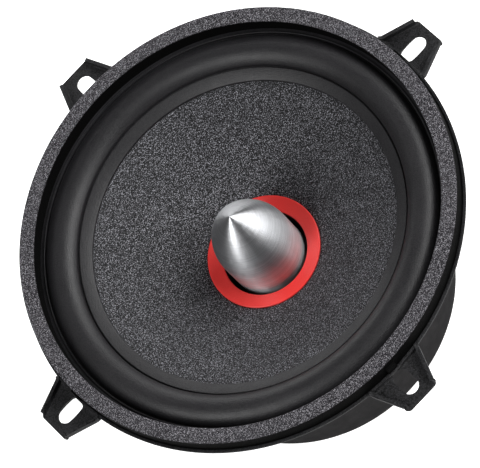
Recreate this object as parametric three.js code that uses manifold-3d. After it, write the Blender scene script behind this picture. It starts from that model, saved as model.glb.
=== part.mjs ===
// Round car door speaker with one cone and a fixed phase plug.
// Millimetres. +Z points out of the front, z = 0 is the back of the magnet boot, and the four mounting
// ears lie on the X and Y axes.
import * as THREE from 'three';
import { mergeVertices } from 'three/addons/utils/BufferGeometryUtils.js';
import Module from 'manifold-3d';

const wasm = await Module();
wasm.setup();

// ---------------------------------------------------------------- driving dimensions
const SIDES = 32;                 // flats on every large round piece
const SMALL_SIDES = 12;           // flats on rivets, screws and leads
const GLUE = 0.1;                 // adhesive film between stacked pieces
const FIT = 0.3;                  // radial clearance of a pin in its hole

const FLANGE_RADIUS = 66.1;
const SHEET = 1.0;                // basket steel
const BASKET_DEPTH = 31.6;        // underside of the base to the front of the flange
const GASKET_RIM = 1.1;           // flange left showing outside the gasket
const GASKET_WIDTH = 4.55;
const GASKET_HEIGHT = 4.7;
const GASKET_CHAMFER = 0.5;
const LUG_WIDTH = 3.2;
const LUG_HEIGHT = 3.4;
const LUG_REACH = 0.7;

const ROLL_HALF_WIDTH = 4.6;      // middle of the roll to either foot
const ROLL_HEIGHT = 2.7;          // crest above the outer land
const RUBBER = 0.8;
const OUTER_LAND_SHOWING = 1.95;  // gasket bore to the foot of the roll
const OUTER_LAND_HIDDEN = 2.1;    // tucked under the gasket
const INNER_LAND = 3.9;
const INNER_LAND_DROP = 1.6;
const INNER_LAND_RUBBER = 0.7;
const LAND_BELOW_FLANGE = 0.2;
const INNER_LAND_BELOW = 0.6;     // outer land to the foot of the roll inside
const CONE_RIM_INSET = 0.4;       // inner foot of the roll to the edge of the cone

const COIL_RADIUS = 12.7;         // inside of the former
const FORMER_WALL = 0.25;
const FORMER_TAIL = 0.5;          // former showing behind the winding
const NECK_FIT = 0.15;            // glue line between the former and the neck of the cone
const WINDING_WALL = 0.65;
const WINDING_LENGTH = 10;
const PLATE_GAP = 0.35;           // running clearance, winding to top plate
const POLE_GAP = 0.5;             // running clearance, pole to former
const PLUG_GAP = 1.4;             // plug to former

const CONE_PAPER = 0.8;
const NECK_ABOVE_SHELF = 2.5;     // clear height between the spider's shelf and the neck of the cone
const RING_WIDTH = 4.3;
const RING_THICKNESS = 0.8;
const RING_RISE = 1.4;

const SHELF_HEIGHT = 5.6;         // underside of the base to underside of the shelf
const SHELF_RADIUS = 34;          // inner edge of the shelf
const BASE_BORE = 22;
const BOWL_TOP_INSET = 1.3;       // foot of the roll to the top of the bowl
const BOWL_TAPER = 9.7;
const WINDOW_HALF_ANGLE = 27;     // degrees
const WINDOW_SILL = 2;
const WINDOW_HEAD = 3.6;

const SPIDER_GRIP = 4;            // width glued on the shelf
const SPIDER_INSET = 0.6;         // edge of the shelf to the glued width
const SPIDER_RUN_OUT = 1;         // flat cloth before the glued width
const SPIDER_CLOTH = 0.5;
const SPIDER_WAVE = 1.0;
const SPIDER_WAVES = 4;
const SPIDER_COLLAR = 2;

const EAR_REACH = 10.45;          // flange edge to the tip of the ear
const EAR_TIP_WIDTH = 10.3;
const EAR_TAPER = 0.38;           // growth in half width per unit towards the centre
const EAR_CORNER = 1.0;
const EAR_DROP = 1.9;             // front of the flange to front of the ear
const SLOT_WIDTH = 5;
const SLOT_LENGTH = 8.6;
const SLOT_CENTRE = 3.6;          // outside the flange edge

const SEAL_THICKNESS = 2.3;
const SEAL_WIDTH = 2.4;

const TOP_PLATE_THICKNESS = 4;
const MAGNET_THICKNESS = 15;
const MAGNET_BORE = 22;
const BACK_PLATE_THICKNESS = 5;
const PLATE_STEP = 1.6;           // the steel plates are this much smaller than the magnet
const BOOT_RADIUS = 46.0;
const BOOT_WALL = 1.8;
const BOOT_FLOOR = 1.6;
const BOOT_HEIGHT = 19.4;
const BOOT_CHAMFER = 1.6;
const MAGNET_FIT = 0.4;           // boot to magnet

const PLUG_STANDOUT = 3.3;        // tip above the gasket
const PLUG_NOSE = 20;
const SCREW_RADIUS = 2;
const SCREW_GRIP = 9;             // thread inside the plug
const SCREW_HEAD_RADIUS = 3.5;
const SCREW_HEAD = 2.2;

const RIVET_RADIUS = 1.5;
const RIVET_HEAD_RADIUS = 2.8;
const RIVET_HEAD = 1.2;
const RIVET_BITE = 0.5;           // plate left behind the foot of a rivet
const RIVET_INSET = 0.6;          // inside the middle of the base
const HEAD_CROWN = 0.7;           // flat top of a rivet head, as a share of its radius
const RIVET_COUNT = 4;

const BOARD_WIDTH = 22;
const BOARD_THICKNESS = 1.6;
const BOARD_INSIDE = 6.5;         // from the bowl wall inwards
const BOARD_OUTSIDE = 4.1;        // from the bowl wall outwards
const BLADE_THICKNESS = 0.8;
const STRIP_INSET = 1.5;          // inner edge of the board to the terminal strip
const EYELET_INSET = 2.6;         // outer edge of the board to the eyelets
const BLADE_DROP = 10;
const POSITIVE_BLADE = 6.3;
const NEGATIVE_BLADE = 4.8;
const BLADE_OFFSET = 5;           // either side of the spoke's middle
const EYELET_RADIUS = 0.9;
const EYELET_HEAD_RADIUS = 1.6;
const EYELET_HEAD = 0.6;
const TERMINAL_ANGLE = 45;        // degrees
const LEAD_RADIUS = 0.6;
const LEAD_INSET = 2.5;           // inner edge of the board to the start of a lead
const LEAD_ARCH = 2.2;            // rise of a lead near its terminal
const LEAD_SHOULDER = 1.8;        // rise of a lead half way
const LEAD_ARRIVAL = 2;           // straight run into the pad
const LEAD_DIP = 0.4;             // below the pad, and below the end of the lead
const PAD_RADIUS = 1.8;
const PAD_THICKNESS = 0.6;
const PAD_CIRCLE = 24;            // distance of the solder pads from the axis
const DOT_RADIUS = 0.8;
const DOT_HEIGHT = 0.4;
const DOT_INSET = 1.4;            // outer edge of the board to the dot
const DOT_SIDE_INSET = 1.3;       // side of the board to the dot
const OVERCUT = 1;                // cutters run this far past what they cut
const TAB_OVERLAP = 2;            // terminal tab and mouth, inside the bowl wall

// ---------------------------------------------------------------- levels and radii worked out
const backPlateZ = BOOT_FLOOR + GLUE;
const magnetZ = backPlateZ + BACK_PLATE_THICKNESS + GLUE;
const topPlateZ = magnetZ + MAGNET_THICKNESS + GLUE;
const topPlateFront = topPlateZ + TOP_PLATE_THICKNESS;
const basketZ = topPlateFront + GLUE;
const flangeZ = basketZ + BASKET_DEPTH;
const gasketZ = flangeZ + GLUE;
const frontZ = gasketZ + GASKET_HEIGHT;
const shelfZ = basketZ + SHELF_HEIGHT + SHEET;
const magnetRadius = BOOT_RADIUS - BOOT_WALL - MAGNET_FIT;
const plateRadius = magnetRadius - PLATE_STEP;

const gasketRadius = FLANGE_RADIUS - GASKET_RIM;
const gasketBore = gasketRadius - GASKET_WIDTH;
const rollFoot = gasketBore - OUTER_LAND_SHOWING;
const rollMiddle = rollFoot - ROLL_HALF_WIDTH;
const rollInner = rollMiddle - ROLL_HALF_WIDTH;
const landZ = flangeZ - LAND_BELOW_FLANGE;
const recessRadius = gasketBore + OUTER_LAND_HIDDEN + FIT;
const recessZ = landZ - RUBBER - GLUE;
const innerLandRadius = rollInner - INNER_LAND;
const innerLandZ = landZ - INNER_LAND_BELOW;
const bowlTop = rollFoot - BOWL_TOP_INSET;
const bowlBottom = bowlTop - BOWL_TAPER;

const poleRadius = COIL_RADIUS - POLE_GAP;
const formerRadius = COIL_RADIUS + FORMER_WALL;
const windingRadius = formerRadius + GLUE / 2 + WINDING_WALL;
const plateBore = windingRadius + PLATE_GAP;
const plugRadius = COIL_RADIUS - PLUG_GAP;
const windingZ = topPlateZ + (TOP_PLATE_THICKNESS - WINDING_LENGTH) / 2;

const neckRadius = formerRadius + NECK_FIT;
const neckZ = shelfZ + NECK_ABOVE_SHELF;
const coneEdgeRadius = innerLandRadius;
const coneEdgeZ = innerLandZ - INNER_LAND_DROP - INNER_LAND_RUBBER - GLUE;
const coneSlope = (coneEdgeZ - neckZ) / (coneEdgeRadius - neckRadius);
const coneFrontAt = (r) => neckZ + (r - neckRadius) * coneSlope;
const coneBackAt = (r) => coneFrontAt(r) - CONE_PAPER;
const landSlope = INNER_LAND_DROP / INNER_LAND;
const ringRadius = COIL_RADIUS + RING_WIDTH;
const ringZ = coneFrontAt(ringRadius) + GLUE;
const formerTop = ringZ - RING_RISE - GLUE;

const earTip = FLANGE_RADIUS + EAR_REACH;
const earFront = flangeZ - EAR_DROP;
const earBack = earFront - SHEET;
const earRoot = recessRadius;
const slotMiddle = FLANGE_RADIUS + SLOT_CENTRE;

const spiderOuter = SHELF_RADIUS + SPIDER_INSET + SPIDER_GRIP;
const rivetCircle = (BASE_BORE + SHELF_RADIUS) / 2 - RIVET_INSET;

// ---------------------------------------------------------------- helpers
const flatGeometry = (geometry) => {
  const bare = geometry.index ? geometry.toNonIndexed() : geometry.clone();
  bare.deleteAttribute('normal');
  bare.deleteAttribute('uv');
  return mergeVertices(bare, 1e-4);
};

const toSolid = (geometry) => {
  const bare = flatGeometry(geometry);
  const mesh = new wasm.Mesh({
    numProp: 3,
    vertProperties: new Float32Array(bare.attributes.position.array),
    triVerts: new Uint32Array(bare.index.array),
  });
  return new wasm.Manifold(mesh);
};

const toGeometry = (solid) => {
  const mesh = solid.getMesh();
  const geometry = new THREE.BufferGeometry();
  geometry.setAttribute('position', new THREE.BufferAttribute(mesh.vertProperties, 3));
  geometry.setIndex(new THREE.BufferAttribute(mesh.triVerts, 1));
  geometry.computeVertexNormals();
  return geometry;
};

// Turns a closed outline of [radius, z] points about Z. An outline that reaches the axis starts and ends
// on it, and any other is closed here.
const revolve = (outline, sides = SIDES) => {
  const area = outline.reduce((sum, [r, z], i) => {
    const [nextR, nextZ] = outline[(i + 1) % outline.length];
    return sum + r * nextZ - nextR * z;
  }, 0);
  const ordered = area > 0 ? [...outline] : [...outline].reverse();
  const onAxis = outline[0][0] === 0;
  if (!onAxis) {
    ordered.push(ordered[0]);
  }
  const points = ordered.map(([r, z]) => new THREE.Vector2(r, z));
  return new THREE.LatheGeometry(points, sides).rotateX(Math.PI / 2);
};

const tube = (inner, outer, z0, z1, sides = SIDES) => revolve([
  [inner, z0], [outer, z0], [outer, z1], [inner, z1],
], sides);

const rod = (radius, z0, z1, sides = SMALL_SIDES) => revolve([
  [0, z0], [radius, z0], [radius, z1], [0, z1],
], sides);

const slab = (x0, x1, y0, y1, z0, z1) => {
  const geometry = new THREE.BoxGeometry(x1 - x0, y1 - y0, z1 - z0);
  return geometry.translate((x0 + x1) / 2, (y0 + y1) / 2, (z0 + z1) / 2);
};

const prism = (corners, z0, z1) => {
  const shape = new THREE.Shape(corners.map(([x, y]) => new THREE.Vector2(x, y)));
  const geometry = new THREE.ExtrudeGeometry(shape, { depth: z1 - z0, bevelEnabled: false });
  return geometry.translate(0, 0, z0);
};

const radians = (degrees) => degrees * Math.PI / 180;
const turned = (geometry, degrees) => geometry.rotateZ(radians(degrees));
const quarterTurns = [0, 90, 180, 270];

const group = new THREE.Group();
const addPiece = (name, geometry, look) => {
  const mesh = new THREE.Mesh(geometry, new THREE.MeshStandardMaterial(look));
  mesh.name = name;
  group.add(mesh);
};

const looks = {
  paint: { color: 0x2e2f31, roughness: 0.6, metalness: 0.3 },
  gasket: { color: 0x45444a, roughness: 0.9, metalness: 0 },
  rubber: { color: 0x242527, roughness: 0.55, metalness: 0 },
  pulp: { color: 0x3c3d40, roughness: 0.95, metalness: 0 },
  red: { color: 0xd9342b, roughness: 0.35, metalness: 0 },
  aluminium: { color: 0xb9bbbd, roughness: 0.3, metalness: 1 },
  steel: { color: 0x8d8f92, roughness: 0.4, metalness: 1 },
  ferrite: { color: 0x2a2a2b, roughness: 0.8, metalness: 0.1 },
  copper: { color: 0xb5693c, roughness: 0.35, metalness: 1 },
  amber: { color: 0xa5722e, roughness: 0.5, metalness: 0 },
  cloth: { color: 0xc09a4a, roughness: 0.95, metalness: 0 },
  foam: { color: 0x1c1c1d, roughness: 1, metalness: 0 },
  board: { color: 0x1f1f20, roughness: 0.5, metalness: 0 },
  tin: { color: 0xcfd0cf, roughness: 0.3, metalness: 1 },
};

// ---------------------------------------------------------------- basket
const bowl = () => revolve([
  [FLANGE_RADIUS, flangeZ],
  [recessRadius, flangeZ],
  [recessRadius, recessZ],
  [bowlTop, recessZ],
  [bowlBottom, shelfZ],
  [SHELF_RADIUS, shelfZ],
  [SHELF_RADIUS - SHEET, basketZ + SHEET],
  [BASE_BORE, basketZ + SHEET],
  [BASE_BORE, basketZ],
  [SHELF_RADIUS, basketZ],
  [SHELF_RADIUS + SHEET, shelfZ - SHEET],
  [bowlBottom + SHEET, shelfZ - SHEET],
  [bowlTop + SHEET, recessZ - SHEET],
  [FLANGE_RADIUS, recessZ - SHEET / 2],
]);

const earHalfWidth = (r) => EAR_TIP_WIDTH / 2 + (earTip - r) * EAR_TAPER;

// One ear on the +X axis: a plate, two turned-up side lips and the step up to the flange.
const ear = () => {
  const shoulder = earTip - EAR_CORNER;
  const outline = [
    [earRoot, -earHalfWidth(earRoot)],
    [shoulder, -earHalfWidth(shoulder)],
    [earTip, -earHalfWidth(earTip) + EAR_CORNER],
    [earTip, earHalfWidth(earTip) - EAR_CORNER],
    [shoulder, earHalfWidth(shoulder)],
    [earRoot, earHalfWidth(earRoot)],
  ];
  const lip = (side) => prism([
    [earRoot, side * earHalfWidth(earRoot)],
    [shoulder, side * earHalfWidth(shoulder)],
    [shoulder, side * (earHalfWidth(shoulder) - SHEET)],
    [earRoot, side * (earHalfWidth(earRoot) - SHEET)],
  ], earBack, flangeZ);
  const step = earHalfWidth(earRoot) - SHEET / 2;
  let solid = toSolid(prism(outline, earBack, earFront));
  solid = solid.add(toSolid(lip(-1)));
  solid = solid.add(toSolid(lip(1)));
  return solid.add(toSolid(slab(earRoot, FLANGE_RADIUS, -step, step, earBack, recessZ)));
};

const earSlot = () => {
  const straight = (SLOT_LENGTH - SLOT_WIDTH) / 2;
  const shape = new THREE.Shape();
  shape.absarc(slotMiddle + straight, 0, SLOT_WIDTH / 2, -Math.PI / 2, Math.PI / 2, false);
  shape.absarc(slotMiddle - straight, 0, SLOT_WIDTH / 2, Math.PI / 2, Math.PI * 1.5, false);
  const depth = flangeZ - earBack + 2 * OVERCUT;
  const geometry = new THREE.ExtrudeGeometry(shape, { depth, bevelEnabled: false, curveSegments: 8 });
  return geometry.translate(0, 0, earBack - OVERCUT);
};

const windowCutter = () => {
  const half = radians(WINDOW_HALF_ANGLE);
  const near = bowlBottom - 6 * OVERCUT;
  const far = FLANGE_RADIUS;
  return prism([
    [near * Math.cos(half), -near * Math.sin(half)],
    [far * Math.cos(half), -far * Math.sin(half)],
    [far * Math.cos(half), far * Math.sin(half)],
    [near * Math.cos(half), near * Math.sin(half)],
  ], shelfZ + WINDOW_SILL, recessZ - SHEET - WINDOW_HEAD);
};

const boardInner = bowlBottom - BOARD_INSIDE;
const boardOuter = bowlBottom + SHEET + BOARD_OUTSIDE;
const boardZ = shelfZ + GLUE;
const boardFront = boardZ + BOARD_THICKNESS;
const bladeZ = boardFront + GLUE;
const eyeletHeadZ = bladeZ + BLADE_THICKNESS + GLUE;
const mouthTop = eyeletHeadZ + EYELET_HEAD + FIT;
const eyeletRadius = boardOuter - EYELET_INSET;

const rivetPlaces = Array.from({ length: RIVET_COUNT }, (_, i) => {
  const angle = radians(45 + i * 360 / RIVET_COUNT);
  return [rivetCircle * Math.cos(angle), rivetCircle * Math.sin(angle)];
});

const basket = () => {
  let solid = toSolid(bowl());
  for (const degrees of quarterTurns) {
    solid = solid.add(ear().rotate([0, 0, degrees]));
    solid = solid.subtract(toSolid(turned(earSlot(), degrees)));
    solid = solid.subtract(toSolid(turned(windowCutter(), degrees)));
  }
  const start = bowlBottom - TAB_OVERLAP;
  const tab = slab(start, boardOuter, -BOARD_WIDTH / 2, BOARD_WIDTH / 2, shelfZ - SHEET, shelfZ);
  const half = BOARD_WIDTH / 2 + FIT;
  const mouth = slab(start, boardOuter + OVERCUT, -half, half, shelfZ, mouthTop);
  solid = solid.add(toSolid(turned(tab, TERMINAL_ANGLE)));
  solid = solid.subtract(toSolid(turned(mouth, TERMINAL_ANGLE)));
  for (const [x, y] of rivetPlaces) {
    const hole = rod(RIVET_RADIUS + FIT, basketZ - OVERCUT, basketZ + SHEET + OVERCUT);
    solid = solid.subtract(toSolid(hole.translate(x, y, 0)));
  }
  for (const side of [-1, 1]) {
    const hole = rod(EYELET_RADIUS + FIT, shelfZ - SHEET - OVERCUT, shelfZ + OVERCUT);
    const place = hole.translate(eyeletRadius, side * BLADE_OFFSET, 0);
    solid = solid.subtract(toSolid(turned(place, TERMINAL_ANGLE)));
  }
  return toGeometry(solid);
};

addPiece('basket', basket(), looks.paint);

// ---------------------------------------------------------------- front ring and rear seal
const frontGasket = () => {
  let solid = toSolid(revolve([
    [gasketBore, gasketZ],
    [gasketRadius, gasketZ],
    [gasketRadius, frontZ - GASKET_CHAMFER],
    [gasketRadius - GASKET_CHAMFER, frontZ],
    [gasketBore + GASKET_CHAMFER, frontZ],
    [gasketBore, frontZ - GASKET_CHAMFER],
  ]));
  for (const degrees of quarterTurns) {
    const lug = slab(gasketRadius - OVERCUT, gasketRadius + LUG_REACH, -LUG_WIDTH / 2, LUG_WIDTH / 2,
      gasketZ, gasketZ + LUG_HEIGHT);
    solid = solid.add(toSolid(turned(lug, degrees)));
  }
  return toGeometry(solid);
};
addPiece('front_gasket', frontGasket(), looks.gasket);

const sealInner = bowlTop + SHEET + 2 * FIT;
const sealFront = recessZ - SHEET - GLUE;
addPiece('mounting_seal', tube(sealInner, sealInner + SEAL_WIDTH, sealFront - SEAL_THICKNESS, sealFront),
  looks.foam);

// ---------------------------------------------------------------- surround
const rollBend = (ROLL_HALF_WIDTH ** 2 + ROLL_HEIGHT ** 2) / (2 * ROLL_HEIGHT);
const rollSpread = Math.asin(ROLL_HALF_WIDTH / rollBend);
const rollBendZ = landZ + ROLL_HEIGHT - rollBend;
const rollArc = (radius, steps, backwards) => Array.from({ length: steps + 1 }, (_, i) => {
  const part = backwards ? 1 - i / steps : i / steps;
  const angle = rollSpread * (1 - 2 * part);
  return [rollMiddle + radius * Math.sin(angle), rollBendZ + radius * Math.cos(angle)];
});

const surround = () => revolve([
  [gasketBore + OUTER_LAND_HIDDEN, landZ - RUBBER],
  [gasketBore + OUTER_LAND_HIDDEN, landZ],
  ...rollArc(rollBend, 8, false),
  [rollInner, innerLandZ],
  [innerLandRadius, innerLandZ - INNER_LAND_DROP],
  [innerLandRadius, innerLandZ - INNER_LAND_DROP - INNER_LAND_RUBBER],
  [rollInner, innerLandZ - INNER_LAND_RUBBER],
  [rollInner + RUBBER, innerLandZ - INNER_LAND_RUBBER],
  ...rollArc(rollBend - RUBBER, 6, true),
  [rollFoot - RUBBER, landZ - RUBBER],
]);
addPiece('surround', surround(), looks.rubber);

// ---------------------------------------------------------------- cone, red ring and voice coil
const coneRim = rollInner - CONE_RIM_INSET;
const coneRimZ = coneEdgeZ + (coneRim - coneEdgeRadius) * landSlope;
addPiece('cone', revolve([
  [neckRadius, coneFrontAt(neckRadius)],
  [coneEdgeRadius, coneEdgeZ],
  [coneRim, coneRimZ],
  [coneRim, coneRimZ - CONE_PAPER],
  [coneEdgeRadius, coneEdgeZ - CONE_PAPER],
  [neckRadius, coneBackAt(neckRadius)],
]), looks.pulp);

addPiece('neck_ring', revolve([
  [ringRadius, ringZ],
  [ringRadius, ringZ + RING_THICKNESS],
  [COIL_RADIUS, ringZ + RING_THICKNESS - RING_RISE],
  [COIL_RADIUS, ringZ - RING_RISE],
]), looks.red);

addPiece('voice_coil_former',
  tube(COIL_RADIUS, formerRadius, windingZ - FORMER_TAIL, formerTop), looks.amber);
addPiece('voice_coil_winding',
  tube(formerRadius + GLUE / 2, windingRadius, windingZ, windingZ + WINDING_LENGTH), looks.copper);

// ---------------------------------------------------------------- spider
const spider = () => {
  const inner = neckRadius;
  const z = shelfZ + GLUE;
  const first = inner + SPIDER_COLLAR;
  const last = spiderOuter - SPIDER_GRIP - SPIDER_RUN_OUT;
  const pitch = (last - first) / (2 * SPIDER_WAVES);
  const waves = Array.from({ length: 2 * SPIDER_WAVES + 1 }, (_, i) => {
    const lift = i % 2 === 0 ? 0 : SPIDER_WAVE;
    return [first + i * pitch, z + lift];
  });
  const lower = [[inner, z], ...waves, [spiderOuter, z]];
  const upper = lower.map(([r, height]) => [r, height + SPIDER_CLOTH]).reverse();
  return revolve([...lower, ...upper]);
};
addPiece('spider', spider(), looks.cloth);

// ---------------------------------------------------------------- magnet stack
const topPlate = () => {
  let solid = toSolid(tube(plateBore, plateRadius, topPlateZ, topPlateFront));
  for (const [x, y] of rivetPlaces) {
    const hole = rod(RIVET_RADIUS + FIT, topPlateZ - OVERCUT, topPlateFront + OVERCUT);
    solid = solid.subtract(toSolid(hole.translate(x, y, 0)));
  }
  return toGeometry(solid);
};
addPiece('top_plate', topPlate(), looks.steel);
addPiece('magnet', tube(MAGNET_BORE, magnetRadius, magnetZ, magnetZ + MAGNET_THICKNESS), looks.ferrite);

const poleFront = topPlateFront;
const screwSeat = backPlateZ + SCREW_HEAD + FIT;
addPiece('pole_yoke', revolve([
  [SCREW_HEAD_RADIUS + FIT, backPlateZ],
  [plateRadius, backPlateZ],
  [plateRadius, backPlateZ + BACK_PLATE_THICKNESS],
  [poleRadius, backPlateZ + BACK_PLATE_THICKNESS],
  [poleRadius, poleFront],
  [SCREW_RADIUS + FIT, poleFront],
  [SCREW_RADIUS + FIT, screwSeat],
  [SCREW_HEAD_RADIUS + FIT, screwSeat],
]), looks.steel);

const bootInner = BOOT_RADIUS - BOOT_WALL;
addPiece('magnet_boot', revolve([
  [0, 0],
  [BOOT_RADIUS - BOOT_CHAMFER, 0],
  [BOOT_RADIUS, BOOT_CHAMFER],
  [BOOT_RADIUS, BOOT_HEIGHT],
  [bootInner, BOOT_HEIGHT],
  [bootInner, BOOT_FLOOR],
  [0, BOOT_FLOOR],
]), looks.rubber);

// ---------------------------------------------------------------- phase plug and its screw
const plugFoot = poleFront + GLUE;
const plugTip = frontZ + PLUG_STANDOUT;

// A tangent ogive: an arc that leaves the shank without a corner and meets the axis at the tip.
const ogive = (radius, length, steps) => {
  const arc = (radius * radius + length * length) / (2 * radius);
  return Array.from({ length: steps }, (_, i) => {
    const rise = length * i / steps;
    return [Math.sqrt(arc * arc - rise * rise) + radius - arc, rise];
  });
};

const phasePlug = () => {
  const shoulder = plugTip - PLUG_NOSE;
  const nose = ogive(plugRadius, PLUG_NOSE, 8).map(([r, rise]) => [r, shoulder + rise]);
  const bore = SCREW_RADIUS + FIT;
  const boreTop = plugFoot + SCREW_GRIP + FIT;
  return revolve([[0, boreTop], [bore, boreTop], [bore, plugFoot], [plugRadius, plugFoot], ...nose,
    [0, plugTip]]);
};
addPiece('phase_plug', phasePlug(), looks.aluminium);

addPiece('phase_plug_screw', revolve([
  [0, screwSeat - SCREW_HEAD],
  [SCREW_HEAD_RADIUS, screwSeat - SCREW_HEAD],
  [SCREW_HEAD_RADIUS, screwSeat - GLUE],
  [SCREW_RADIUS, screwSeat - GLUE],
  [SCREW_RADIUS, plugFoot + SCREW_GRIP],
  [0, plugFoot + SCREW_GRIP],
], SMALL_SIDES), looks.steel);

// ---------------------------------------------------------------- basket rivets
rivetPlaces.forEach(([x, y], i) => {
  const headZ = basketZ + SHEET + GLUE;
  const rivet = revolve([
    [0, topPlateZ + RIVET_BITE],
    [RIVET_RADIUS, topPlateZ + RIVET_BITE],
    [RIVET_RADIUS, headZ],
    [RIVET_HEAD_RADIUS, headZ],
    [RIVET_HEAD_RADIUS * HEAD_CROWN, headZ + RIVET_HEAD],
    [0, headZ + RIVET_HEAD],
  ], SMALL_SIDES);
  addPiece(`basket_rivet_${i + 1}`, rivet.translate(x, y, 0), looks.steel);
});

// ---------------------------------------------------------------- terminals
const onSpoke = (geometry) => turned(geometry, TERMINAL_ANGLE);

const terminalBoard = () => {
  let solid = toSolid(slab(boardInner, boardOuter, -BOARD_WIDTH / 2, BOARD_WIDTH / 2, boardZ, boardFront));
  for (const side of [-1, 1]) {
    const hole = rod(EYELET_RADIUS + FIT, boardZ - OVERCUT, boardFront + OVERCUT);
    solid = solid.subtract(toSolid(hole.translate(eyeletRadius, side * BLADE_OFFSET, 0)));
  }
  return onSpoke(toGeometry(solid));
};
addPiece('terminal_board', terminalBoard(), looks.board);

const terminals = [
  { name: 'positive', side: 1, width: POSITIVE_BLADE },
  { name: 'negative', side: -1, width: NEGATIVE_BLADE },
];

// An L: a strip along the board, bent down outside it to a connector blade.
const bladeOuter = boardOuter + FIT;
const terminalBlade = (side, width) => {
  const middle = side * BLADE_OFFSET;
  const y0 = middle - width / 2;
  const y1 = middle + width / 2;
  const outer = bladeOuter + BLADE_THICKNESS;
  const strip = slab(boardInner + STRIP_INSET, outer, y0, y1, bladeZ, bladeZ + BLADE_THICKNESS);
  const blade = slab(bladeOuter, outer, y0, y1, bladeZ - BLADE_DROP, bladeZ + BLADE_THICKNESS / 2);
  const hole = rod(EYELET_RADIUS + FIT, bladeZ - OVERCUT, bladeZ + BLADE_THICKNESS + OVERCUT);
  let solid = toSolid(strip).add(toSolid(blade));
  solid = solid.subtract(toSolid(hole.translate(eyeletRadius, middle, 0)));
  return onSpoke(toGeometry(solid));
};

const terminalRivet = (side) => {
  const rivet = revolve([
    [0, shelfZ - SHEET],
    [EYELET_RADIUS, shelfZ - SHEET],
    [EYELET_RADIUS, eyeletHeadZ],
    [EYELET_HEAD_RADIUS, eyeletHeadZ],
    [EYELET_HEAD_RADIUS * HEAD_CROWN, eyeletHeadZ + EYELET_HEAD],
    [0, eyeletHeadZ + EYELET_HEAD],
  ], SMALL_SIDES);
  return onSpoke(rivet.translate(eyeletRadius, side * BLADE_OFFSET, 0));
};

// A disc that lies on the slanting back of the cone.
const padTilt = Math.atan(coneSlope);
const solderPad = (side) => {
  const disc = rod(PAD_RADIUS, -PAD_THICKNESS, 0).rotateY(-padTilt);
  return onSpoke(disc.translate(PAD_CIRCLE, side * BLADE_OFFSET, coneBackAt(PAD_CIRCLE) - FIT));
};

// Braided lead from the inner end of a terminal to the pad under the cone.
const leadStartR = boardInner + LEAD_INSET;
const leadStartZ = bladeZ + BLADE_THICKNESS + LEAD_RADIUS + GLUE;
const leadEndZ = coneBackAt(PAD_CIRCLE) - FIT - PAD_THICKNESS - LEAD_RADIUS - LEAD_DIP;
const tinselLead = (side) => {
  const y = side * BLADE_OFFSET;
  const span = leadStartR - PAD_CIRCLE;
  const path = new THREE.CatmullRomCurve3([
    new THREE.Vector3(leadStartR, y, leadStartZ),
    new THREE.Vector3(leadStartR - span * 0.3, y, leadStartZ + LEAD_ARCH),
    new THREE.Vector3(leadStartR - span * 0.65, y, leadStartZ + LEAD_SHOULDER),
    new THREE.Vector3(PAD_CIRCLE + LEAD_ARRIVAL, y, leadEndZ - LEAD_DIP),
    new THREE.Vector3(PAD_CIRCLE, y, leadEndZ),
  ]);
  const section = new THREE.Shape();
  section.absarc(0, 0, LEAD_RADIUS, 0, Math.PI * 2);
  const geometry = new THREE.ExtrudeGeometry(section, {
    steps: 14, extrudePath: path, curveSegments: 4, bevelEnabled: false,
  });
  return onSpoke(geometry);
};

for (const { name, side, width } of terminals) {
  addPiece(`terminal_${name}`, terminalBlade(side, width), looks.tin);
  addPiece(`terminal_rivet_${name}`, terminalRivet(side), looks.tin);
  addPiece(`solder_pad_${name}`, solderPad(side), looks.tin);
  addPiece(`tinsel_lead_${name}`, tinselLead(side), looks.copper);
}

const dot = rod(DOT_RADIUS, boardFront + GLUE, boardFront + GLUE + DOT_HEIGHT);
const dotPlace = dot.translate(boardOuter - DOT_INSET, BOARD_WIDTH / 2 - DOT_SIDE_INSET, 0);
addPiece('polarity_mark', onSpoke(dotPlace), looks.red);

export default group;
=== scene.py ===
"""Round car door speaker: one speckled cone, an arched rubber edge, a turned plug in a red ring."""

import math

import bmesh
import bpy
import numpy as np
from mathutils import Matrix, Vector


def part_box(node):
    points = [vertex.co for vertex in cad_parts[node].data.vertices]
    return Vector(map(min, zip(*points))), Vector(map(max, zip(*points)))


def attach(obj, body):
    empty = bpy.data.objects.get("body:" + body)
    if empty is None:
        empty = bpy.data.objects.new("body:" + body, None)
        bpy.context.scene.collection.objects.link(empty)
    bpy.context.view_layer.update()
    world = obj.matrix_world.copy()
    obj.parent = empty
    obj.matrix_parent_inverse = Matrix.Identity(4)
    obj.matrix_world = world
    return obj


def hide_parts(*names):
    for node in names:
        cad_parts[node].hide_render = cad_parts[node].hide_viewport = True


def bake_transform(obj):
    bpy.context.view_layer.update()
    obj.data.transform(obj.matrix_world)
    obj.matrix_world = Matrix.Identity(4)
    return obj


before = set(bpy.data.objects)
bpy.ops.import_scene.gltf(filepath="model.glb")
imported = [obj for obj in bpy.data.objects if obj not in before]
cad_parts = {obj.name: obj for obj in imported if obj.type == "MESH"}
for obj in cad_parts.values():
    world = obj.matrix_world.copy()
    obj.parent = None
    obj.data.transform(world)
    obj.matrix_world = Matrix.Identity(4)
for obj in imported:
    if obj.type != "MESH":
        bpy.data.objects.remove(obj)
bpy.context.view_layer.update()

MM = 0.001
CHASSIS = "chassis"
MOVING = "cone_assembly"
TERMINAL_ANGLE = math.radians(45)

# -------- places taken from the frame


def radius_of(node):
    """Largest distance from the axis along X, in millimetres."""
    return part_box(node)[1].x / MM


def base_of(node):
    """Lowest level of a node, in millimetres."""
    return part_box(node)[0].z / MM


def top_of(node):
    """Highest level of a node, in millimetres."""
    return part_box(node)[1].z / MM


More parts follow.
